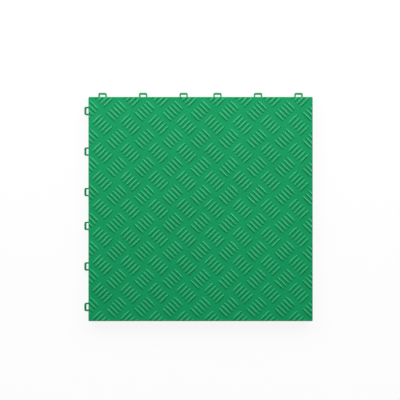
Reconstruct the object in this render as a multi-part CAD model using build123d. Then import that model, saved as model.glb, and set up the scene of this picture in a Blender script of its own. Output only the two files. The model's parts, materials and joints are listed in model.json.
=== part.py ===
from build123d import *
import os

# Modular floor tile, injection moulded in one piece: a closed top plate with a five-bar tread,
# a skirt, a grid of ribs and short feet below, six open loops on each of two neighbouring sides
# and six pegs on each of the other two, which drop into the loops of the next tile.
# Millimetres. The origin is on the floor under the middle of the 400 mm square, +Z is up,
# the loops are on the -X and +Y sides and the pegs are on the +X and -Y sides.

# Overall
tile_side = 400.0
tile_height = 18.0
corner_round = 1.5
edge_round = 0.8

# Plate, skirt and ribs
plate_thickness = 2.6
skirt_wall = 2.2
skirt_lift = 1.5
rib_wall = 1.8
rib_lift = 5.0
cells_per_side = 11

# Feet under every other cell of the rib grid
foot_width = 7.0
foot_taper = 2.0

# Five-bar tread
tread_repeats = 8
bars_per_group = 5
bar_length = 24.5
bar_width = 4.0
bar_height = 1.2
bar_hip = 5.0
bar_root = 0.3

# Loops, standing out from the skirt
loops_per_side = 6
loop_inner_spacing = 60.6
loop_end_distance = 24.3
loop_opening_width = 9.8
loop_opening_depth = 5.0
loop_leg = 2.6
loop_front = 3.2
loop_lift = 3.5
loop_height = 6.0
loop_corner = 2.8

# Pegs, which stand behind notches in the skirt
peg_clearance = 0.4
peg_wall = 1.8
peg_lift = 2.0
peg_recess = 0.3
peg_lead_in = 0.8
notch_clearance = 0.4

# How far solids run into what they join, and past what they cut
join_overlap = 0.5
cut_margin = 1.0

# Worked out from the sizes above
half_side = tile_side / 2
plate_top = tile_height - bar_height
plate_underside = plate_top - plate_thickness
cell = tile_side / cells_per_side
tread_pitch = tile_side / tread_repeats
bar_step = tread_pitch / (2 * bars_per_group)
loop_width = loop_opening_width + 2 * loop_leg
loop_reach = loop_opening_depth + loop_front
loop_top = loop_lift + loop_height
loops_per_half = loops_per_side // 2


def block(width, depth, bottom, top):
    """A box centred on the tile, between two heights above the floor."""
    centred = (Align.CENTER, Align.CENTER, Align.MIN)
    return Pos(0, 0, bottom) * Box(width, depth, top - bottom, align=centred)


def stations():
    """Distances along a side, from its middle, at which loops and pegs stand.

    The first and the last stand at one distance from the corners, the middle two at their own
    spacing, and the others evenly between.
    """
    first = loop_inner_spacing / 2
    last = half_side - loop_end_distance
    spacing = (last - first) / max(loops_per_half - 1, 1)
    outwards = [first + number * spacing for number in range(loops_per_half)]
    return [-distance for distance in reversed(outwards)] + outwards


def shell():
    """The plate with its skirt, hollow below."""
    body = block(tile_side, tile_side, skirt_lift, plate_top)
    body = fillet(body.edges().filter_by(Axis.Z), corner_round)
    body = fillet(body.faces().sort_by(Axis.Z)[-1].edges(), edge_round)
    inside = tile_side - 2 * skirt_wall
    return body - block(inside, inside, skirt_lift - cut_margin, plate_underside)


def rib_grid():
    """Straight ribs both ways under the plate, ending in the skirt."""
    length = tile_side - skirt_wall
    top = plate_underside + join_overlap
    along_x = block(length, rib_wall, rib_lift, top)
    along_y = block(rib_wall, length, rib_lift, top)
    ribs = []
    for line in range(1, cells_per_side):
        place = line * cell - half_side
        ribs.append(Pos(0, place, 0) * along_x)
        ribs.append(Pos(place, 0, 0) * along_y)
    return ribs


def feet():
    """Tapered square feet from the plate to the floor, in every other cell."""
    outline = Rectangle(foot_width, foot_width)
    foot = extrude(outline, amount=plate_underside + join_overlap, taper=-foot_taper)
    middle = cells_per_side // 2
    return [
        Pos((column - middle) * cell, (row - middle) * cell, 0) * foot
        for column in range(cells_per_side)
        for row in range(cells_per_side)
        if (column + row) % 2 == 0
    ]


def loop():
    """One open loop on the +Y side, at the middle of that side."""
    root = half_side - skirt_wall / 2
    strap = Pos(0, root, loop_lift) * Rectangle(
        loop_width, loop_reach + skirt_wall / 2, align=(Align.CENTER, Align.MIN)
    )
    strap = fillet(strap.vertices().group_by(Axis.Y)[-1], loop_corner)
    opening = Pos(0, half_side, loop_lift) * Rectangle(
        loop_opening_width, loop_opening_depth, align=(Align.CENTER, Align.MIN)
    )
    return extrude(strap - opening, amount=loop_height)


def notch():
    """The gap in the skirt that lets the next tile's loop in, at the middle of the -Y side."""
    width = loop_width + 2 * notch_clearance
    depth = 2 * skirt_wall + cut_margin
    gap = block(width, depth, skirt_lift - cut_margin, loop_top + notch_clearance)
    return Pos(0, skirt_wall / 2 - half_side, 0) * gap


def peg():
    """A channel-shaped peg behind the notch, open to the inside of the tile."""
    width = loop_opening_width - 2 * peg_clearance
    depth = loop_opening_depth - peg_clearance - peg_recess
    top = plate_underside + join_overlap
    low_side = (Align.CENTER, Align.MIN, Align.MIN)
    outside = Pos(0, -half_side + peg_recess, peg_lift)
    solid = outside * Box(width, depth, top - peg_lift, align=low_side)
    lower = solid.faces().sort_by(Axis.Z)[0].edges()
    solid = chamfer(lower.filter_by(Axis.Y), peg_lead_in)
    hollow = Pos(0, -half_side + peg_recess + peg_wall, peg_lift - cut_margin)
    return solid - hollow * Box(width - 2 * peg_wall, depth, top, align=low_side)


def tread_bar():
    """One bar of the tread along X: its sides and its long sloping ends rise to a ridge."""
    end = bar_length / 2
    edge = bar_width / 2
    points = [(x, y, z) for x in (-end, end) for y in (-edge, edge) for z in (-bar_root, 0)]
    points += [(x, 0, bar_height) for x in (bar_hip - end, end - bar_hip)]
    return Pos(0, 0, plate_top) * ConvexPolyhedron(points)


def bar_group(turn):
    """Five parallel bars centred on the tile's middle, turned from the X axis."""
    bar = tread_bar()
    middle = (bars_per_group - 1) / 2
    slope = -1 if turn > 0 else 1
    group = []
    for number in range(bars_per_group):
        along = (number - middle) * bar_step
        group.append(Pos(along, slope * along, 0) * Rot(0, 0, turn) * bar)
    return group


def tread():
    """All bars, in groups that lean left and right by turns, cut off at the tile's edges."""
    reach = half_side - edge_round
    flat = block(2 * reach, 2 * reach, plate_top - cut_margin, tile_height + cut_margin)
    bars = []
    for turn, shift_x, shift_y in ((45, 0.5, 0), (-45, 0, 0.5)):
        group = bar_group(turn)
        for column in range(tread_repeats + 1):
            for row in range(tread_repeats + 1):
                x = (column + shift_x) * tread_pitch - half_side
                y = (row + shift_y) * tread_pitch - half_side
                for bar in group:
                    placed = Pos(x, y, 0) * bar
                    box = placed.bounding_box()
                    if min(box.min.X, box.min.Y) > -reach and max(box.max.X, box.max.Y) < reach:
                        bars.append(placed)
                    elif max(box.min.X, box.min.Y) < reach and min(box.max.X, box.max.Y) > -reach:
                        bars += (placed & flat).solids()
    return bars


def build_tile():
    body = shell()
    body += rib_grid()
    body += feet()
    loop_at_y = loop()
    notch_at_y = notch()
    peg_at_y = peg()
    quarter = Rot(0, 0, 90)
    notches = [Pos(place, 0, 0) * notch_at_y for place in stations()]
    notches += [Pos(0, place, 0) * quarter * notch_at_y for place in stations()]
    joiners = [Pos(place, 0, 0) * item for place in stations() for item in (loop_at_y, peg_at_y)]
    joiners += [
        Pos(0, place, 0) * quarter * item
        for place in stations()
        for item in (loop_at_y, peg_at_y)
    ]
    body -= notches
    body += joiners
    body += tread()
    return body


tile = build_tile()
os.makedirs("parts", exist_ok=True)
export_step(tile, "parts/tile.step")
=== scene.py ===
# %% [markdown]
# # An interlocking floor tile
# The real tile is one injection moulding in green polypropylene: a closed top with a raised five-bar
# tread, a skirt, a grid of ribs and short feet below, open loops on two sides and pegs behind the other
# two. The measured solid is loaded first. This lesson then models the same tile again with finer
# surfaces, by hand operations, gives it its plastic, and lights it like a catalogue picture.

# %% Load the frame
import json
import math

import bmesh
import bpy
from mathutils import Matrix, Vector

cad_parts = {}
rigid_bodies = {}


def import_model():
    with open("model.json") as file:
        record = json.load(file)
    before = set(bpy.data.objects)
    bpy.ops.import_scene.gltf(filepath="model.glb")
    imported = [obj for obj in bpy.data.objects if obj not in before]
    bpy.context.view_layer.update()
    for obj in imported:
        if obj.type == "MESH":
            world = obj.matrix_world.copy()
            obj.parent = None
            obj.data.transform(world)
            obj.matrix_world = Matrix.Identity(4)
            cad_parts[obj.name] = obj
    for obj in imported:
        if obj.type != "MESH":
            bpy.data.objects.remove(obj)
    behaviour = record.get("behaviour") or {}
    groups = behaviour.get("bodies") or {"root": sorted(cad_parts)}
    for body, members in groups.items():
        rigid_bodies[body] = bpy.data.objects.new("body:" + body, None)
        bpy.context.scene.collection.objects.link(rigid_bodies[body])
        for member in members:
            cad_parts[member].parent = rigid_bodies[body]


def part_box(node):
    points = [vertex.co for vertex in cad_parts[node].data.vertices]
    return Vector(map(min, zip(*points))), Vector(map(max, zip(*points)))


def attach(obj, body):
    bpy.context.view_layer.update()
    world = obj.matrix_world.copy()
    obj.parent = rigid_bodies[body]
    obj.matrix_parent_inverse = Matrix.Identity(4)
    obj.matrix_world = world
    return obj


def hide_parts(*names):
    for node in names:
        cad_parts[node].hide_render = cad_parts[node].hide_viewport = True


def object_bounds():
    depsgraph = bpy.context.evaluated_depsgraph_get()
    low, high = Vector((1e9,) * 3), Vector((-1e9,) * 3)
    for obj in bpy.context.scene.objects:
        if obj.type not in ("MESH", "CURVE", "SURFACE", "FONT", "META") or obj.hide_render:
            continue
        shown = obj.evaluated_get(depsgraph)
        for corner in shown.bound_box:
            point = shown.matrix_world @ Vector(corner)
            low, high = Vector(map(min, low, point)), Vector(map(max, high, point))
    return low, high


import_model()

cad_low, cad_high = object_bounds()
tile_low, tile_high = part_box("tile")
print("solid from", tuple(tile_low), "to", tuple(tile_high))

# %% [markdown]
# ## Sizes
# The tile's sizes are written in millimetres, as on its drawing, and one function turns them to metres.
# The half side and the height are read from the solid. The half side is its reach along +X, because that
# is a side with pegs, where nothing stands out.


# %% Sizes
def mm(value):
    return value / 1000


HALF = tile_high.x
TOP = tile_high.z
BAR_HEIGHT = mm(1.2)
PLATE_THICKNESS = mm(2.6)
PLATE_TOP = TOP - BAR_HEIGHT
UNDERSIDE = PLATE_TOP - PLATE_THICKNESS
REPEATS = 8
REPEAT = 2 * HALF / REPEATS
print("half side", HALF, "top of the plate", PLATE_TOP, "tread repeat", REPEAT)

# %% [markdown]
# ## Working in edit mode without a mouse
# An operator acts on all that is selected, so each step starts from nothing selected and then picks
# vertices, edges or faces by their place or normal, as a hand would with a box selection.

# %% Helpers for selecting
NEAR = mm(0.02)


def alone(piece):
    """Object mode, with this piece selected and nothing else."""
    if bpy.context.mode != "OBJECT":
        bpy.ops.object.mode_set(mode="OBJECT")
    bpy.ops.object.select_all(action="DESELECT")
    piece.select_set(True)
    bpy.context.view_layer.objects.active = piece


def open_up(piece, kind):
    """Edit mode on one piece, with nothing selected, to pick VERT, EDGE or FACE."""
    alone(piece)
    bpy.ops.object.mode_set(mode="EDIT")
    bpy.ops.mesh.select_mode(type=kind)
    bpy.ops.mesh.select_all(action="DESELECT")


def pick(kind, test):
    """Select the parts of the open mesh that pass the test, and say how many there are."""
    mesh = bmesh.from_edit_mesh(bpy.context.object.data)
    parts = {"VERT": mesh.verts, "EDGE": mesh.edges, "FACE": mesh.faces}[kind]
    bpy.ops.mesh.select_mode(type=kind)
    bpy.ops.mesh.select_all(action="DESELECT")
    chosen = [part for part in parts if test(part)]
    for part in chosen:
        part.select_set(True)
    mesh.select_flush_mode()
    bmesh.update_edit_mesh(bpy.context.object.data)
    return len(chosen)


def near(value, target, by=NEAR):
    return abs(value - target) < by


# %% Helpers for finishing a piece
WELD = mm(0.01)
FINE_WELD = mm(0.002)


def apply_all(piece):
    """Put the piece's place into its mesh and apply its modifiers in order."""
    alone(piece)
    bpy.ops.object.transform_apply(location=True, rotation=True, scale=True)
    for modifier in list(piece.modifiers):
        bpy.ops.object.modifier_apply(modifier=modifier.name)


def merge_doubles(piece, distance=WELD):
    """Weld vertices that lie closer than this, and turn all faces outwards."""
    open_up(piece, "VERT")
    bpy.ops.mesh.select_all(action="SELECT")
    bpy.ops.mesh.remove_doubles(threshold=distance)
    bpy.ops.mesh.normals_make_consistent(inside=False)
    alone(piece)


# %% [markdown]
# ## One tread bar
# A tread bar is 24.5 mm long and 1.2 mm high, with a round back, ends that thin out to a point and a
# foot that curves into the ground, which makes it 4.8 mm wide there. Water and grit find no square
# corner to sit in. It could be a squashed sphere, but then its back would bulge and its foot would be
# steep. Here half a circle is pulled down into a low wave, drawn out along X from the middle, step by
# step, and made smaller at each step, as a bar would be drawn out in clay.

# %% Model one bar
BAR_LENGTH = mm(24.5)
BAR_WIDTH = mm(4.8)
BAR_SIDES = 12
BAR_LEVELS = ((math.sin(math.pi / 6), 0.2), (math.sin(math.pi / 3), 0.68))
BAR_STATIONS = (0.3, 0.52, 0.69, 0.82, 0.91, 0.97)
BAR_TAPER = 3.4
LEVEL_NEAR = 0.01


def bar_share(along):
    """How wide the bar still is at a share of its half length, from 1 in the middle to 0."""
    return 1 - along**BAR_TAPER


def add_bar_section():
    """Half a circle of radius 1 on the YZ plane, its two lower levels pulled down, at the bar's size."""
    bpy.ops.object.select_all(action="DESELECT")
    upright = (0, math.pi / 2, 0)
    bpy.ops.mesh.primitive_circle_add(vertices=BAR_SIDES, radius=1, rotation=upright)
    section = bpy.context.object
    section.name = "bar"
    apply_all(section)
    open_up(section, "VERT")
    pick("VERT", lambda vert: vert.co.z < -LEVEL_NEAR)
    bpy.ops.mesh.delete(type="VERT")
    for level, share in BAR_LEVELS:
        pick("VERT", lambda vert: near(vert.co.z, level, LEVEL_NEAR))
        bpy.ops.transform.resize(value=(1, 1, share), center_override=(0, 0, 0))
    bpy.ops.mesh.select_all(action="SELECT")
    bpy.ops.transform.resize(value=(1, BAR_WIDTH / 2, BAR_HEIGHT), center_override=(0, 0, 0))
    return section


def draw_out_bar():
    """Extrude the selected section along +X, smaller at each station, to a point."""
    half = BAR_LENGTH / 2
    reached, share = 0, 1
    for station in BAR_STATIONS:
        step = (half * (station - reached), 0, 0)
        bpy.ops.mesh.extrude_region_move(TRANSFORM_OT_translate={"value": step})
        shrink = bar_share(station) / share
        bpy.ops.transform.resize(value=(1, shrink, math.sqrt(shrink)), center_override=(0, 0, 0))
        reached, share = station, bar_share(station)
    tip = (half * (1 - reached), 0, 0)
    bpy.ops.mesh.extrude_region_move(TRANSFORM_OT_translate={"value": tip})
    bpy.ops.transform.resize(value=(1, 0, 0), center_override=(0, 0, 0))


def make_bar():
    bar = add_bar_section()
    draw_out_bar()
    alone(bar)
    bar.modifiers.new("other half", "MIRROR").use_axis = (True, False, False)
    apply_all(bar)
    merge_doubles(bar, FINE_WELD)
    return bar


bar = make_bar()
print("one bar:", len(bar.data.polygons), "faces")

# %% [markdown]
# ## One patch of tread
# Five bars side by side make a group, and the tread is tiled with square patches that stand on their
# corners, each with one group in it. The bars could be stood on a flat sheet as separate shells, but
# then the sheet would run on unseen beneath each bar. Here the flat ground is filled in between the
# patch's outline and the feet of the bars, so that bars and ground are one skin.

# %% Helpers for repeating, joining and counting


def rows(piece, count, offset):
    """Repeat the piece in a row with an Array modifier."""
    array = piece.modifiers.new("row", "ARRAY")
    array.count = count
    array.use_relative_offset = False
    array.use_constant_offset = True
    array.constant_offset_displace = offset
    apply_all(piece)


def joined(piece, others):
    """One object out of several, which is the first one with the others' meshes added."""
    alone(piece)
    for other in others:
        other.select_set(True)
    bpy.ops.object.join()
    return bpy.context.object


def open_edges(piece):
    """How many edges lack a second face: none on a closed shell."""
    mesh = bmesh.new()
    mesh.from_mesh(piece.data)
    count = sum(len(edge.link_faces) != 2 for edge in mesh.edges)
    mesh.free()
    return count


# %% Model one patch
BARS = 5
PATCH = REPEAT / math.sqrt(2)
BAR_STEP = PATCH / BARS


def make_patch(bar):
    bar.location = (0, -BAR_STEP * (BARS - 1) / 2, 0)
    rows(bar, BARS, (0, BAR_STEP, 0))
    bpy.ops.object.select_all(action="DESELECT")
    bpy.ops.mesh.primitive_plane_add(size=PATCH)
    outline = bpy.context.object
    open_up(outline, "FACE")
    bpy.ops.mesh.select_all(action="SELECT")
    bpy.ops.mesh.delete(type="ONLY_FACE")
    patch = joined(outline, [bar])
    patch.name = "tread_patch"
    open_up(patch, "EDGE")
    pick("EDGE", lambda edge: len(edge.link_faces) < 2)
    bpy.ops.mesh.fill(use_beauty=True)
    bpy.ops.mesh.select_all(action="SELECT")
    bpy.ops.mesh.normals_make_consistent(inside=False)
    alone(patch)
    return patch


patch = make_patch(bar)
print("one patch:", len(patch.data.polygons), "faces, open edges", open_edges(patch))

# %% [markdown]
# ## The tread sheet
# Patches leaning right and left take turns like the squares of a chessboard on its corner. Whole groups
# could be placed one by one and left out at the sides, but the real tread is cut off there: bars run out
# at a side and go on in the next tile. So the sheet is made larger than the tile and trimmed with four
# straight cuts, and one more cut at each corner keeps it inside the plate's rounded corner.

# %% Lay and trim the tread
EDGE_ROUND = mm(0.8)
TREAD_MARGIN = mm(0.3)
CORNER_ROUND = mm(1.5)
CUT_NEAR = mm(0.001)
QUARTER_TURNS = [quarter * math.pi / 2 for quarter in range(4)]


def pointing(turn):
    """The direction along the floor at this turn from +X."""
    return Vector((math.cos(turn), math.sin(turn), 0))


def copy_of(piece):
    alone(piece)
    bpy.ops.object.duplicate()
    return bpy.context.object


def trim(piece, place, normal):
    """Cut the piece with a plane and drop what lies past it."""
    open_up(piece, "FACE")
    bpy.ops.mesh.select_all(action="SELECT")
    bpy.ops.mesh.bisect(plane_co=place, plane_no=normal, clear_outer=True, threshold=CUT_NEAR)
    alone(piece)


def lay_tread(patch):
    leaning_left = copy_of(patch)
    for piece, turn, start in (
        (patch, math.pi / 4, (-HALF + REPEAT / 2, -HALF, PLATE_TOP)),
        (leaning_left, -math.pi / 4, (-HALF, -HALF + REPEAT / 2, PLATE_TOP)),
    ):
        piece.rotation_euler.z = turn
        apply_all(piece)
        piece.location = start
        rows(piece, REPEATS + 1, (REPEAT, 0, 0))
        rows(piece, REPEATS + 1, (0, REPEAT, 0))
    tread = joined(patch, [leaning_left])
    tread.name = "tile"
    merge_doubles(tread)
    side = HALF - EDGE_ROUND - TREAD_MARGIN
    corner = (HALF - CORNER_ROUND) * math.sqrt(2) + CORNER_ROUND - EDGE_ROUND - TREAD_MARGIN
    for turn in QUARTER_TURNS:
        trim(tread, pointing(turn) * side, pointing(turn))
        slanting = pointing(turn + math.pi / 4)
        trim(tread, slanting * corner, slanting)
    return tread


tile = lay_tread(patch)
print("tread:", len(tile.data.polygons), "faces")

# %% [markdown]
# Where a bar is cut off, its end has to be closed down to the plate. The whole rim is pulled down to the
# plate's level: over a cut bar that makes the small end face, and on flat ground it makes nothing, so
# merging doubles takes the empty faces away again.

# %% Close the cut bars


def is_rim(edge):
    return len(edge.link_faces) == 1


def close_cut_bars(tread):
    open_up(tread, "EDGE")
    pick("EDGE", is_rim)
    bpy.ops.mesh.extrude_region_move(TRANSFORM_OT_translate={"value": (0, 0, 0)})
    bpy.ops.transform.resize(value=(1, 1, 0), center_override=(0, 0, PLATE_TOP))
    bpy.ops.mesh.select_all(action="SELECT")
    bpy.ops.mesh.remove_doubles(threshold=WELD)
    count = pick("EDGE", is_rim)
    alone(tread)
    return count


print("edges round the tread:", close_cut_bars(tile))

# %% [markdown]
# ## Ribs
# Underneath, the mould core leaves pockets with thin ribs between them, which stiffen the plate without a
# thick wall. They could be cut out with 121 boxes, but a grid is quicker and cleaner: its faces lie at
# the ribs' lower edge, are inset one by one, which draws the ribs, and the inset faces are pushed up to
# the plate's underside. The half ribs at the sides are first drawn in to the inside of the skirt.

# %% Model the ribs
CELLS = 11
RIB_WALL = mm(1.8)
RIB_LIFT = mm(5.0)
SKIRT_WALL = mm(2.2)
INSIDE = HALF - SKIRT_WALL
ROW_NEAR = mm(0.1)


def draw_in_side_ribs():
    """Move the outermost inset vertices to the inside of the skirt and cut off what lies past it."""
    outer_row = HALF - RIB_WALL / 2
    for axis in (0, 1):
        pick("VERT", lambda vert: abs(vert.co[axis]) > outer_row - ROW_NEAR)
        factor = [1, 1, 1]
        factor[axis] = INSIDE / outer_row
        bpy.ops.transform.resize(value=factor, center_override=(0, 0, RIB_LIFT))
    for turn in QUARTER_TURNS:
        straight = pointing(turn)
        bpy.ops.mesh.select_all(action="SELECT")
        bpy.ops.mesh.bisect(
            plane_co=straight * INSIDE, plane_no=straight, clear_outer=True, threshold=WELD
        )


def make_ribs():
    bpy.ops.object.select_all(action="DESELECT")
    place = (0, 0, RIB_LIFT)
    bpy.ops.mesh.primitive_grid_add(
        x_subdivisions=CELLS, y_subdivisions=CELLS, size=2 * HALF, location=place
    )
    ribs = bpy.context.object
    ribs.name = "underside"
    apply_all(ribs)
    open_up(ribs, "FACE")
    bpy.ops.mesh.select_all(action="SELECT")
    bpy.ops.mesh.inset(thickness=RIB_WALL / 2, use_individual=True)
    draw_in_side_ribs()
    pick("FACE", lambda face: min(edge.calc_length() for edge in face.edges) > HALF / CELLS)
    push_up = (0, 0, UNDERSIDE - RIB_LIFT)
    bpy.ops.mesh.extrude_region_move(TRANSFORM_OT_translate={"value": push_up})
    alone(ribs)
    return ribs


underside = make_ribs()
print("ribs:", len(underside.data.polygons), "faces, open edges", open_edges(underside))

# %% [markdown]
# ## Skirt
# The skirt hides the ribs and ends 1.5 mm above the floor, because the tile stands on its feet. A box
# with its inside cut out would do, but it would have to be joined to the ribs. Here the rim of the rib
# grid is drawn down, outwards and up, which makes the skirt and its rounded top edge in one go.

# %% Draw the skirt from the rim
SKIRT_LIFT = mm(1.5)
EDGE_STEPS = 4


def draw_rim(level_from, side_from, level_to, side_to):
    """Extrude the selected rim to another height and another distance from the middle."""
    step = (0, 0, level_to - level_from)
    bpy.ops.mesh.extrude_region_move(TRANSFORM_OT_translate={"value": step})
    share = side_to / side_from
    bpy.ops.transform.resize(value=(share, share, 1), center_override=(0, 0, level_to))


def is_corner(edge):
    """Whether this is one of the four upright outer edges of the skirt."""
    return all(near(abs(vert.co.x), HALF) and near(abs(vert.co.y), HALF) for vert in edge.verts)


def make_skirt(ribs):
    open_up(ribs, "EDGE")
    pick("EDGE", is_rim)
    draw_rim(RIB_LIFT, INSIDE, SKIRT_LIFT, INSIDE)
    draw_rim(SKIRT_LIFT, INSIDE, SKIRT_LIFT, HALF)
    shoulder = PLATE_TOP - EDGE_ROUND
    draw_rim(SKIRT_LIFT, HALF, shoulder, HALF)
    corner_edges = pick("EDGE", is_corner)
    bpy.ops.mesh.bevel(offset=CORNER_ROUND, segments=EDGE_STEPS, affect="EDGES")
    pick("EDGE", is_rim)
    level, side = shoulder, HALF
    for step in range(1, EDGE_STEPS + 1):
        turn = math.pi / 2 * step / EDGE_STEPS
        new_level = shoulder + EDGE_ROUND * math.sin(turn)
        new_side = HALF - EDGE_ROUND * (1 - math.cos(turn))
        draw_rim(level, side, new_level, new_side)
        level, side = new_level, new_side
    alone(ribs)
    return corner_edges


print("corner edges rounded:", make_skirt(underside))

# %% [markdown]
# The tread and the skirt now end in two rims at the same height, 0.3 mm apart. Joined and filled
# between, they make one closed shell, as the moulding is.

# %% Close the body
BODY_WELD = mm(0.004)


def close_body(tread, skirt):
    body = joined(tread, [skirt])
    open_up(body, "EDGE")
    pick("EDGE", is_rim)
    bpy.ops.mesh.fill(use_beauty=True)
    merge_doubles(body, BODY_WELD)


close_body(tile, underside)
print("body:", len(tile.data.polygons), "faces, open edges", open_edges(tile))

# %% [markdown]
# ## Connector loops
# Each loop is a flat strap that runs out of the skirt and back, and the next tile's peg drops into it. A
# strap could be bent along a path, but its legs and its front differ in width. So the loop is drawn from
# above: one outline for the strap and one for the opening, each a plane with its two outer corners
# rounded. The ring between them is filled, drawn up to the loop's height, and a small bevel breaks all
# its edges, as the mould does.

# %% Draw an outline
CORNER_STEPS = 5


def add_outline(width, back, front, corner, level):
    """The outline of a plate on the +Y side with its two front corners rounded."""
    bpy.ops.object.select_all(action="DESELECT")
    bpy.ops.mesh.primitive_plane_add(size=1, location=(0, (front + back) / 2, level))
    outline = bpy.context.object
    outline.scale = (width, front - back, 1)
    apply_all(outline)
    open_up(outline, "VERT")
    pick("VERT", lambda vert: near(vert.co.y, front))
    bpy.ops.mesh.bevel(offset=corner, segments=CORNER_STEPS, affect="VERTICES")
    bpy.ops.mesh.select_all(action="SELECT")
    bpy.ops.mesh.delete(type="ONLY_FACE")
    alone(outline)
    return outline


# %% Model one loop
LOOP_OPENING = (mm(9.8), mm(5.0))
LOOP_LEG = mm(2.6)
LOOP_WIDTH = LOOP_OPENING[0] + 2 * LOOP_LEG
LOOP_REACH = cad_high.y - HALF
LOOP_LIFT = mm(3.5)
LOOP_HEIGHT = mm(6.0)
LOOP_CORNER = mm(2.8)
LOOP_INNER_CORNER = mm(0.8)
LOOP_SOFTENING = mm(0.4)
LOOP_ROOT = mm(1.2)
SQUARE_TURN = math.radians(60)


def is_square(edge):
    """Whether two faces meet squarely here, unlike the small steps of a round corner."""
    return edge.is_manifold and abs(edge.calc_face_angle()) > SQUARE_TURN


def make_loop():
    front = HALF + LOOP_REACH
    strap = add_outline(LOOP_WIDTH, HALF - LOOP_ROOT, front, LOOP_CORNER, LOOP_LIFT)
    width, depth = LOOP_OPENING
    hole = add_outline(width, HALF - LOOP_ROOT / 2, HALF + depth, LOOP_INNER_CORNER, LOOP_LIFT)
    loop = joined(strap, [hole])
    loop.name = "loop"
    open_up(loop, "EDGE")
    bpy.ops.mesh.select_all(action="SELECT")
    bpy.ops.mesh.fill(use_beauty=True)
    bpy.ops.mesh.select_all(action="SELECT")
    bpy.ops.mesh.extrude_region_move(TRANSFORM_OT_translate={"value": (0, 0, LOOP_HEIGHT)})
    pick("EDGE", is_square)
    bpy.ops.mesh.bevel(offset=LOOP_SOFTENING, segments=2, affect="EDGES")
    merge_doubles(loop, FINE_WELD)
    return loop


loop = make_loop()
print("one loop:", len(loop.data.polygons), "faces, open edges", open_edges(loop))

# %% [markdown]
# Six loops stand along a side, three to the left of its middle and three to the right, and each three
# are evenly spaced. An array would need one spacing all along, and the middle two stand closer together
# than the others. So a row is made with copies, and a copy of the row is turned by a quarter for the
# neighbouring side.

# %% Set the loops in rows
LOOPS_PER_HALF = 3
LOOP_INNER = mm(60.6) / 2
LOOP_END = mm(24.3)
LOOP_SPACING = (HALF - LOOP_END - LOOP_INNER) / (LOOPS_PER_HALF - 1)
OUTWARDS = [LOOP_INNER + LOOP_SPACING * number for number in range(LOOPS_PER_HALF)]
STATIONS = [side * place for side in (-1, 1) for place in OUTWARDS]


def set_rows(piece, places):
    """Copies of a piece along one side, joined, and the same again a quarter turn on."""
    row = []
    for place in places:
        one = copy_of(piece)
        one.location.x = place
        apply_all(one)
        row.append(one)
    bpy.data.objects.remove(piece)
    first = joined(row[0], row[1:])
    second = copy_of(first)
    second.rotation_euler.z = math.pi / 2
    apply_all(second)
    return joined(second, [first])


loops = set_rows(loop, STATIONS)
print("loops:", len(loops.data.polygons), "faces, open edges", open_edges(loops))

# %% [markdown]
# ## Notches and pegs
# On the other two sides the skirt has a notch at each station, and behind it stands a peg: a channel,
# closed towards the outside, that fills the next tile's loop with 0.4 mm to spare. A solid block would
# be simpler, but it would shrink as it cools and leave a dent in the tread above it. So a thin web is
# cut at two places, its outer ends are drawn inwards to make the cheeks, and its lower corners are
# chamfered, so that the peg finds its loop when the tile is pressed down.

# %% Model a notch
LOOP_CLEARANCE = mm(0.4)
CUT_MARGIN = mm(1.0)


def add_block(name, low, high):
    """A box between two corners, with its place in its mesh."""
    bpy.ops.object.select_all(action="DESELECT")
    low, high = Vector(low), Vector(high)
    bpy.ops.mesh.primitive_cube_add(size=1, location=(low + high) / 2, scale=high - low)
    block = bpy.context.object
    block.name = name
    apply_all(block)
    return block


def make_notch():
    wide = LOOP_WIDTH / 2 + LOOP_CLEARANCE
    low = (-wide, -HALF - CUT_MARGIN, SKIRT_LIFT - CUT_MARGIN)
    high = (wide, -INSIDE + CUT_MARGIN, LOOP_LIFT + LOOP_HEIGHT + LOOP_CLEARANCE)
    return add_block("notch", low, high)


notches = set_rows(make_notch(), STATIONS)
print("notches:", len(notches.data.polygons), "faces, open edges", open_edges(notches))

# %% Model a peg
PEG_WALL = mm(1.8)
PEG_LIFT = mm(2.0)
PEG_RECESS = mm(0.3)
PEG_LEAD_IN = mm(0.8)
PEG_WIDE = LOOP_OPENING[0] / 2 - LOOP_CLEARANCE
PEG_DEEP = LOOP_OPENING[1] - LOOP_CLEARANCE - PEG_RECESS
JOIN_OVERLAP = mm(0.3)
FACING = 0.9


def is_cheek_end(face):
    """Whether this inward face lies past one of the two cuts through the web."""
    return face.normal.y > FACING and abs(face.calc_center_median().x) > PEG_WIDE - PEG_WALL


def is_lower_corner(edge):
    return all(near(abs(v.co.x), PEG_WIDE) and near(v.co.z, PEG_LIFT) for v in edge.verts)


def make_peg():
    face = -HALF + PEG_RECESS
    low = (-PEG_WIDE, face, PEG_LIFT)
    high = (PEG_WIDE, face + PEG_WALL, UNDERSIDE + JOIN_OVERLAP)
    peg = add_block("peg", low, high)
    open_up(peg, "FACE")
    for side in (-1, 1):
        bpy.ops.mesh.select_all(action="SELECT")
        bpy.ops.mesh.bisect(plane_co=(side * (PEG_WIDE - PEG_WALL), 0, 0), plane_no=(1, 0, 0))
    pick("FACE", is_cheek_end)
    inwards = (0, PEG_DEEP - PEG_WALL, 0)
    bpy.ops.mesh.extrude_region_move(TRANSFORM_OT_translate={"value": inwards})
    pick("EDGE", is_lower_corner)
    bpy.ops.mesh.bevel(offset=PEG_LEAD_IN, segments=1, affect="EDGES")
    alone(peg)
    return peg


pegs = set_rows(make_peg(), STATIONS)
print("pegs:", len(pegs.data.polygons), "faces, open edges", open_edges(pegs))

# %% [markdown]
# ## Feet
# Short square feet stand in every other pocket and carry the tile, with room below the ribs for water to
# drain. They taper by two degrees so that they leave the mould. One foot is modelled and laid out in two
# grids, one for the even pockets and one for the odd ones, because a single array can't skip pockets.

# %% Model the feet
FOOT_WIDTH = mm(7.0)
FOOT_TAPER = math.radians(2.0)
FOOT_CORNER = mm(0.9)
FOOT_END_ROUND = mm(0.4)


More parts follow.
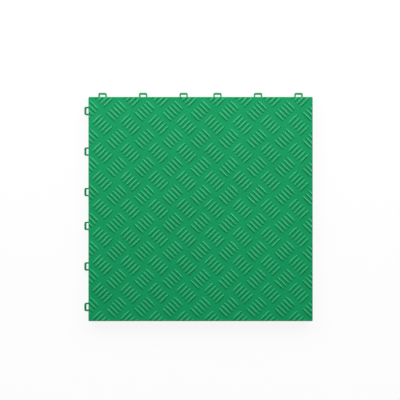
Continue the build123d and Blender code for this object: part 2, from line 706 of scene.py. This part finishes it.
def make_foot():
    wide = FOOT_WIDTH / 2
    high = UNDERSIDE + JOIN_OVERLAP
    foot = add_block("foot", (-wide, -wide, 0), (wide, wide, high))
    open_up(foot, "FACE")
    pick("FACE", lambda face: face.normal.z > FACING)
    spread = 1 + high * math.tan(FOOT_TAPER) / wide
    bpy.ops.transform.resize(value=(spread, spread, 1), center_override=(0, 0, high))
    pick("EDGE", lambda edge: abs(edge.verts[0].co.z - edge.verts[1].co.z) > high / 2)
    bpy.ops.mesh.bevel(offset=FOOT_CORNER, segments=3, affect="EDGES")
    pick("EDGE", lambda edge: all(near(vert.co.z, 0) for vert in edge.verts))
    bpy.ops.mesh.bevel(offset=FOOT_END_ROUND, segments=2, affect="EDGES")
    return foot


def make_feet():
    foot = make_foot()
    other = copy_of(foot)
    cell = 2 * HALF / CELLS
    for piece, count in ((foot, CELLS // 2 + 1), (other, CELLS // 2)):
        start = -(count - 1) * cell
        piece.location = (start, start, 0)
        rows(piece, count, (2 * cell, 0, 0))
        rows(piece, count, (0, 2 * cell, 0))
    return joined(foot, [other])


feet = make_feet()
print("feet:", len(feet.data.polygons), "faces, open edges", open_edges(feet))

# %% [markdown]
# ## One moulding
# The parts could simply overlap, but then hidden walls would stay inside. The notches are cut from the
# body, and the loops, pegs and feet are joined to it with Boolean modifiers, so that the tile ends as
# one closed skin, like the plastic that filled one mould.

# %% Join everything


def combine(body, tool, operation):
    modifier = body.modifiers.new(operation.lower(), "BOOLEAN")
    modifier.operation = operation
    modifier.solver = "MANIFOLD"
    modifier.object = tool
    apply_all(body)
    bpy.data.objects.remove(tool)


combine(tile, notches, "DIFFERENCE")
for part in (loops, pegs, feet):
    combine(tile, part, "UNION")
tile.name = "moulded_tile"
triangles = sum(len(face.vertices) - 2 for face in tile.data.polygons)
print("tile:", triangles, "triangles, open edges", open_edges(tile))

# %% [markdown]
# ## Smooth and flat
# The bars and the rounded edges have to look smooth and the ground and the walls flat. The edges where
# the ground meets a bar are marked sharp, so that no shade of the bar's foot bleeds into the ground. The
# other edges are sharp where they turn by more than 42 degrees, and a Weighted Normal modifier lets the
# large faces keep their own direction beside the narrow ones of the rounded edges.

# %% Set the shading
SMOOTH_UP_TO = math.radians(42)
LEVEL = 0.9999


def is_foot(edge):
    """Whether the flat ground meets something that slopes at this edge."""
    on_ground = all(near(vert.co.z, PLATE_TOP) for vert in edge.verts)
    flat = [face.normal.z > LEVEL for face in edge.link_faces]
    return on_ground and flat.count(True) == 1


def set_shading(piece):
    alone(piece)
    bpy.ops.object.shade_smooth_by_angle(angle=SMOOTH_UP_TO)
    open_up(piece, "EDGE")
    count = pick("EDGE", is_foot)
    bpy.ops.mesh.mark_sharp()
    alone(piece)
    weighted = piece.modifiers.new("flat faces stay flat", "WEIGHTED_NORMAL")
    weighted.keep_sharp = True
    apply_all(piece)
    return count


print("edges along the feet of the bars:", set_shading(tile))

# %% [markdown]
# ## Injection-moulded polypropylene
# Polypropylene coloured in the mass is a satin plastic: the pigment gives a deep even green, and a thin
# clear skin on it gives a soft haze. The ground of the mould was spark eroded, which leaves it matt and
# finely grained, and the melt leaves faint clouds a few centimetres wide. The bars were polished in the
# mould, and their tops are rubbed by shoes and wheels, so they catch the light. Their crests also get a
# painted sheen, patches of paler green. A picture of plastic could be laid over the tile, but it would
# stretch down the walls. So each of these is a pattern in the tile's own coordinates, which has one scale
# all over and stays in its place.


# %% Helpers for materials
def paint(text):
    """A colour written as on a web page, turned to the linear values that the renderer works in."""
    parts = [int(text[place : place + 2], 16) / 255 for place in (1, 3, 5)]
    linear = [p / 12.92 if p <= 0.04045 else ((p + 0.055) / 1.055) ** 2.4 for p in parts]
    return (*linear, 1)


def add_node(tree, kind, settings=None, links=None):
    """One node with its settings and what is plugged into it."""
    node = tree.nodes.new(kind)
    for name, value in (settings or {}).items():
        if isinstance(name, str) and hasattr(node, name):
            setattr(node, name, value)
        else:
            node.inputs[name].default_value = value
    for name, socket in (links or {}).items():
        tree.links.new(socket, node.inputs[name])
    return node


def per_metre(size):
    """The texture scale at which one feature of the pattern is this long."""
    return 1 / size


def new_material(name):
    material = bpy.data.materials.new(name)
    material.use_nodes = True
    material.node_tree.nodes.clear()
    return material, material.node_tree


# %% [markdown]
# ### Patterns of the plastic
# Three noises and the height are all that the finish needs. The clouds have their real size, and the
# third noise breaks the painted sheen on the crests into patches about 6 mm wide. The grain is about
# 0.4 mm on the real tile and is drawn three times as coarse, so that it shows. The height tells how far
# up a bar's flank and how near its crest a point lies.

# %% Patterns of the plastic
GRAIN = mm(1.2)
CLOUD = mm(45)
SHEEN_PATCH = mm(6)
HALF_WAY_UP = PLATE_TOP + BAR_HEIGHT / 2


def plastic_patterns(tree):
    """Grain, cloud and the patches of painted sheen as values about 0.5, and the height above the floor.
    """
    place = add_node(tree, "ShaderNodeTexCoord").outputs["Object"]
    grain = add_node(
        tree,
        "ShaderNodeTexNoise",
        {"Scale": per_metre(GRAIN), "Detail": 3.0, "Roughness": 0.6},
        {"Vector": place},
    ).outputs["Fac"]
    cloud = add_node(
        tree,
        "ShaderNodeTexNoise",
        {"Scale": per_metre(CLOUD), "Detail": 4.0, "Roughness": 0.55, "Distortion": 0.4},
        {"Vector": place},
    ).outputs["Fac"]
    sheen_patches = add_node(
        tree,
        "ShaderNodeTexNoise",
        {"Scale": per_metre(SHEEN_PATCH), "Detail": 6.0, "Roughness": 0.7},
        {"Vector": place},
    ).outputs["Fac"]
    height = add_node(tree, "ShaderNodeSeparateXYZ", None, {"Vector": place}).outputs["Z"]
    return grain, cloud, sheen_patches, height


# %% [markdown]
# ### Colour of the plastic
# Clouds in the melt shift the green a little, and the crests of the bars are painted paler in patches:
# a painted sheen.

# %% Colour of the plastic
MELT_GREENS = ("#008C54", "#03985D")
# Painted sheen: the paler green painted on the bar crests, and how far the crests are mixed towards it.
PAINTED_SHEEN_GREEN = "#2FB27C"
PAINTED_SHEEN = 0.25


def plastic_colour(tree, cloud, sheen_patches, height):
    green = add_node(
        tree,
        "ShaderNodeMix",
        {
            "data_type": "RGBA",
            "clamp_factor": True,
            6: paint(MELT_GREENS[0]),
            7: paint(MELT_GREENS[1]),
        },
        {0: cloud},
    ).outputs[2]
    # Painted sheen: from half way up a bar to its top, the green is mixed towards a paler green in noise
    # patches.
    crest = add_node(
        tree,
        "ShaderNodeMapRange",
        {"From Min": HALF_WAY_UP, "From Max": TOP, "To Min": 0.0, "To Max": PAINTED_SHEEN},
        {"Value": height},
    ).outputs["Result"]
    painted_sheen = add_node(
        tree, "ShaderNodeMath", {"operation": "MULTIPLY"}, {0: crest, 1: sheen_patches}
    ).outputs[0]
    return add_node(
        tree,
        "ShaderNodeMix",
        {"data_type": "RGBA", 7: paint(PAINTED_SHEEN_GREEN)},
        {0: painted_sheen, 6: green},
    ).outputs[2]


# %% [markdown]
# ### Gloss and grain of the plastic
# The grain makes the ground's gloss uneven and roughens it. Up a bar's flank the surface gets smoother
# and the grain fades, as far as the polish in the mould reached.

# %% Gloss and grain of the plastic
GROUND_ROUGHNESS = (0.56, 0.66)
BAR_POLISH = 0.24
GRAIN_RANGE = (0.3, 0.7)
GRAIN_DEPTH = mm(0.3)
GRAIN_ON_GROUND = 0.6
GRAIN_ON_BARS = 0.2


def up_the_flank(tree, height, on_ground, on_bar):
    """One value on the ground and another from half way up a bar."""
    span = {"From Min": PLATE_TOP, "From Max": HALF_WAY_UP, "To Min": on_ground, "To Max": on_bar}
    return add_node(tree, "ShaderNodeMapRange", span, {"Value": height}).outputs["Result"]


def plastic_roughness(tree, grain, height):
    smoothest, roughest = GROUND_ROUGHNESS
    low, high = GRAIN_RANGE
    rough = add_node(
        tree,
        "ShaderNodeMapRange",
        {"From Min": low, "From Max": high, "To Min": smoothest, "To Max": roughest},
        {"Value": grain},
    ).outputs["Result"]
    polish = up_the_flank(tree, height, 0.0, BAR_POLISH)
    return add_node(
        tree, "ShaderNodeMath", {"operation": "SUBTRACT"}, {0: rough, 1: polish}
    ).outputs[0]


def plastic_bump(tree, grain, height):
    share = up_the_flank(tree, height, GRAIN_ON_GROUND, GRAIN_ON_BARS)
    return add_node(
        tree, "ShaderNodeBump", {"Distance": GRAIN_DEPTH}, {"Height": grain, "Strength": share}
    ).outputs["Normal"]


# %% Make the plastic
PLASTIC_IOR = 1.49
SPECULAR_LEVEL = 0.2


def make_polypropylene():
    material, tree = new_material("injection-moulded polypropylene")
    grain, cloud, sheen_patches, height = plastic_patterns(tree)
    plastic = add_node(
        tree,
        "ShaderNodeBsdfPrincipled",
        {"IOR": PLASTIC_IOR, "Specular IOR Level": SPECULAR_LEVEL},
        {
            "Base Color": plastic_colour(tree, cloud, sheen_patches, height),
            "Roughness": plastic_roughness(tree, grain, height),
            "Normal": plastic_bump(tree, grain, height),
        },
    ).outputs["BSDF"]
    add_node(tree, "ShaderNodeOutputMaterial", None, {"Surface": plastic})
    return material


tile.data.materials.clear()
tile.data.materials.append(make_polypropylene())
print("material:", tile.data.materials[0].name)

# %% [markdown]
# ## Floor, background and light
# The picture shows the tile on pure white, seen from straight above. A floor lit up to white would light
# the tile from below as well, so the floor is a large pale plane which looks nearly white to the camera
# by itself and still takes the tile's shadow.

# %% Lay the floor
FLOOR_SIZE = 60.0
OWN_WHITE = 0.9
PAPER = "#F8F8F8"
WHITE = "#FFFFFF"


def seen_directly(tree):
    """1 where the camera sees a surface, also in a gloss or through glass, and 0 for other light."""
    path = add_node(tree, "ShaderNodeLightPath")
    share = path.outputs["Is Camera Ray"]
    for kind in ("Is Glossy Ray", "Is Transmission Ray"):
        share = add_node(
            tree, "ShaderNodeMath", {"operation": "MAXIMUM"}, {0: share, 1: path.outputs[kind]}
        ).outputs[0]
    return share


def make_floor():
    bpy.ops.object.select_all(action="DESELECT")
    bpy.ops.mesh.primitive_plane_add(size=FLOOR_SIZE, location=(0, 0, 0))
    floor = bpy.context.object
    floor.name = "studio_floor"
    material, tree = new_material("matt white studio floor")
    paper = add_node(tree, "ShaderNodeBsdfDiffuse", {"Color": paint(PAPER)}).outputs[0]
    glow = add_node(tree, "ShaderNodeEmission", {"Color": paint(WHITE), "Strength": 1.0}).outputs[0]
    share = add_node(
        tree, "ShaderNodeMath", {"operation": "MULTIPLY", 1: OWN_WHITE}, {0: seen_directly(tree)}
    ).outputs[0]
    mixed = add_node(
        tree, "ShaderNodeMixShader", None, {0: share, 1: paper, 2: glow}
    ).outputs[0]
    add_node(tree, "ShaderNodeOutputMaterial", None, {"Surface": mixed})
    floor.data.materials.append(material)
    return floor


print(make_floor().name, FLOOR_SIZE, "m wide")

# %% [markdown]
# The world fills in weakly from all round. Where it is seen, it has the white of the far floor, which
# the lamps don't reach, so that no horizon shows behind the tile.

# %% Set the world
FILL_LEVEL = 0.13
FAR_WHITE = OWN_WHITE + (1 - OWN_WHITE) * FILL_LEVEL


def make_world():
    world = bpy.data.worlds.new("studio")
    bpy.context.scene.world = world
    world.use_nodes = True
    tree = world.node_tree
    tree.nodes.clear()
    strength = add_node(
        tree,
        "ShaderNodeMapRange",
        {"To Min": FILL_LEVEL, "To Max": FAR_WHITE},
        {"Value": seen_directly(tree)},
    ).outputs["Result"]
    sky = add_node(
        tree, "ShaderNodeBackground", {"Color": paint(WHITE)}, {"Strength": strength}
    ).outputs[0]
    add_node(tree, "ShaderNodeOutputWorld", None, {"Surface": sky})


make_world()
print("world: fill", FILL_LEVEL, "seen", round(FAR_WHITE, 3))

# %% [markdown]
# Two softboxes stand low behind the looped side, one to the left and one to the right. Each one faces
# the bars that lean the other way, lights their near slopes and leaves their far slopes dark, so the two
# kinds of bar groups look alike, as they do in the picture. One lamp in the middle would light both
# kinds along their length and show no gloss on them.

# %% Softboxes
LAMP_TURN = math.radians(36)
LAMP_RISE = math.radians(27)
LAMP_DISTANCE = 2.2
LAMP_SIZE = (2.2, 1.4)
LAMP_WATTS = 55


def add_softbox(name, side):
    """A rectangular lamp to the left (-1) or right (1) of the looped side, aimed at the tile."""
    out = LAMP_DISTANCE * math.cos(LAMP_RISE)
    x, y = side * out * math.sin(LAMP_TURN), out * math.cos(LAMP_TURN)
    place = Vector((x, y, LAMP_DISTANCE * math.sin(LAMP_RISE)))
    bpy.ops.object.select_all(action="DESELECT")
    bpy.ops.object.light_add(type="AREA", location=place)
    lamp = bpy.context.object
    lamp.name = name
    lamp.data.shape = "RECTANGLE"
    lamp.data.size, lamp.data.size_y = LAMP_SIZE
    lamp.data.energy = LAMP_WATTS
    lamp.rotation_euler = (-place).to_track_quat("-Z", "Y").to_euler()
    return lamp


for name, side in (("left_softbox", -1), ("right_softbox", 1)):
    lamp = add_softbox(name, side)
    print(name, "at", tuple(round(value, 2) for value in lamp.location))

# %% [markdown]
# ## Camera
# The photograph looks straight down from far away. The camera does the same with a long lens, and it is
# moved a little, not tilted, so that the tile lies as low in the frame as in the picture. Its height
# follows from the lens and from how many millimetres of the tread's level the frame takes in.

# %% Camera
LENS = 85
SENSOR = 36
SEES_UP_TO = 100
FRAME_WIDTH = mm(712.7)
AIM = (mm(-1.0), mm(16.1))


def add_camera():
    bpy.ops.object.select_all(action="DESELECT")
    height = TOP + FRAME_WIDTH * LENS / SENSOR
    bpy.ops.object.camera_add(location=(*AIM, height), rotation=(0, 0, 0))
    camera = bpy.context.object
    camera.name = "camera"
    camera.data.lens = LENS
    camera.data.sensor_width = SENSOR
    camera.data.clip_end = SEES_UP_TO
    bpy.context.scene.camera = camera
    return camera


camera = add_camera()
bpy.context.scene.view_settings.view_transform = "Standard"
print("camera", round(camera.location.z, 3), "m above the floor")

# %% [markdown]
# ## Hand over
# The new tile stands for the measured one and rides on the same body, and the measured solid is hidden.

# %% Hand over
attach(tile, "root")
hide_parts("tile")
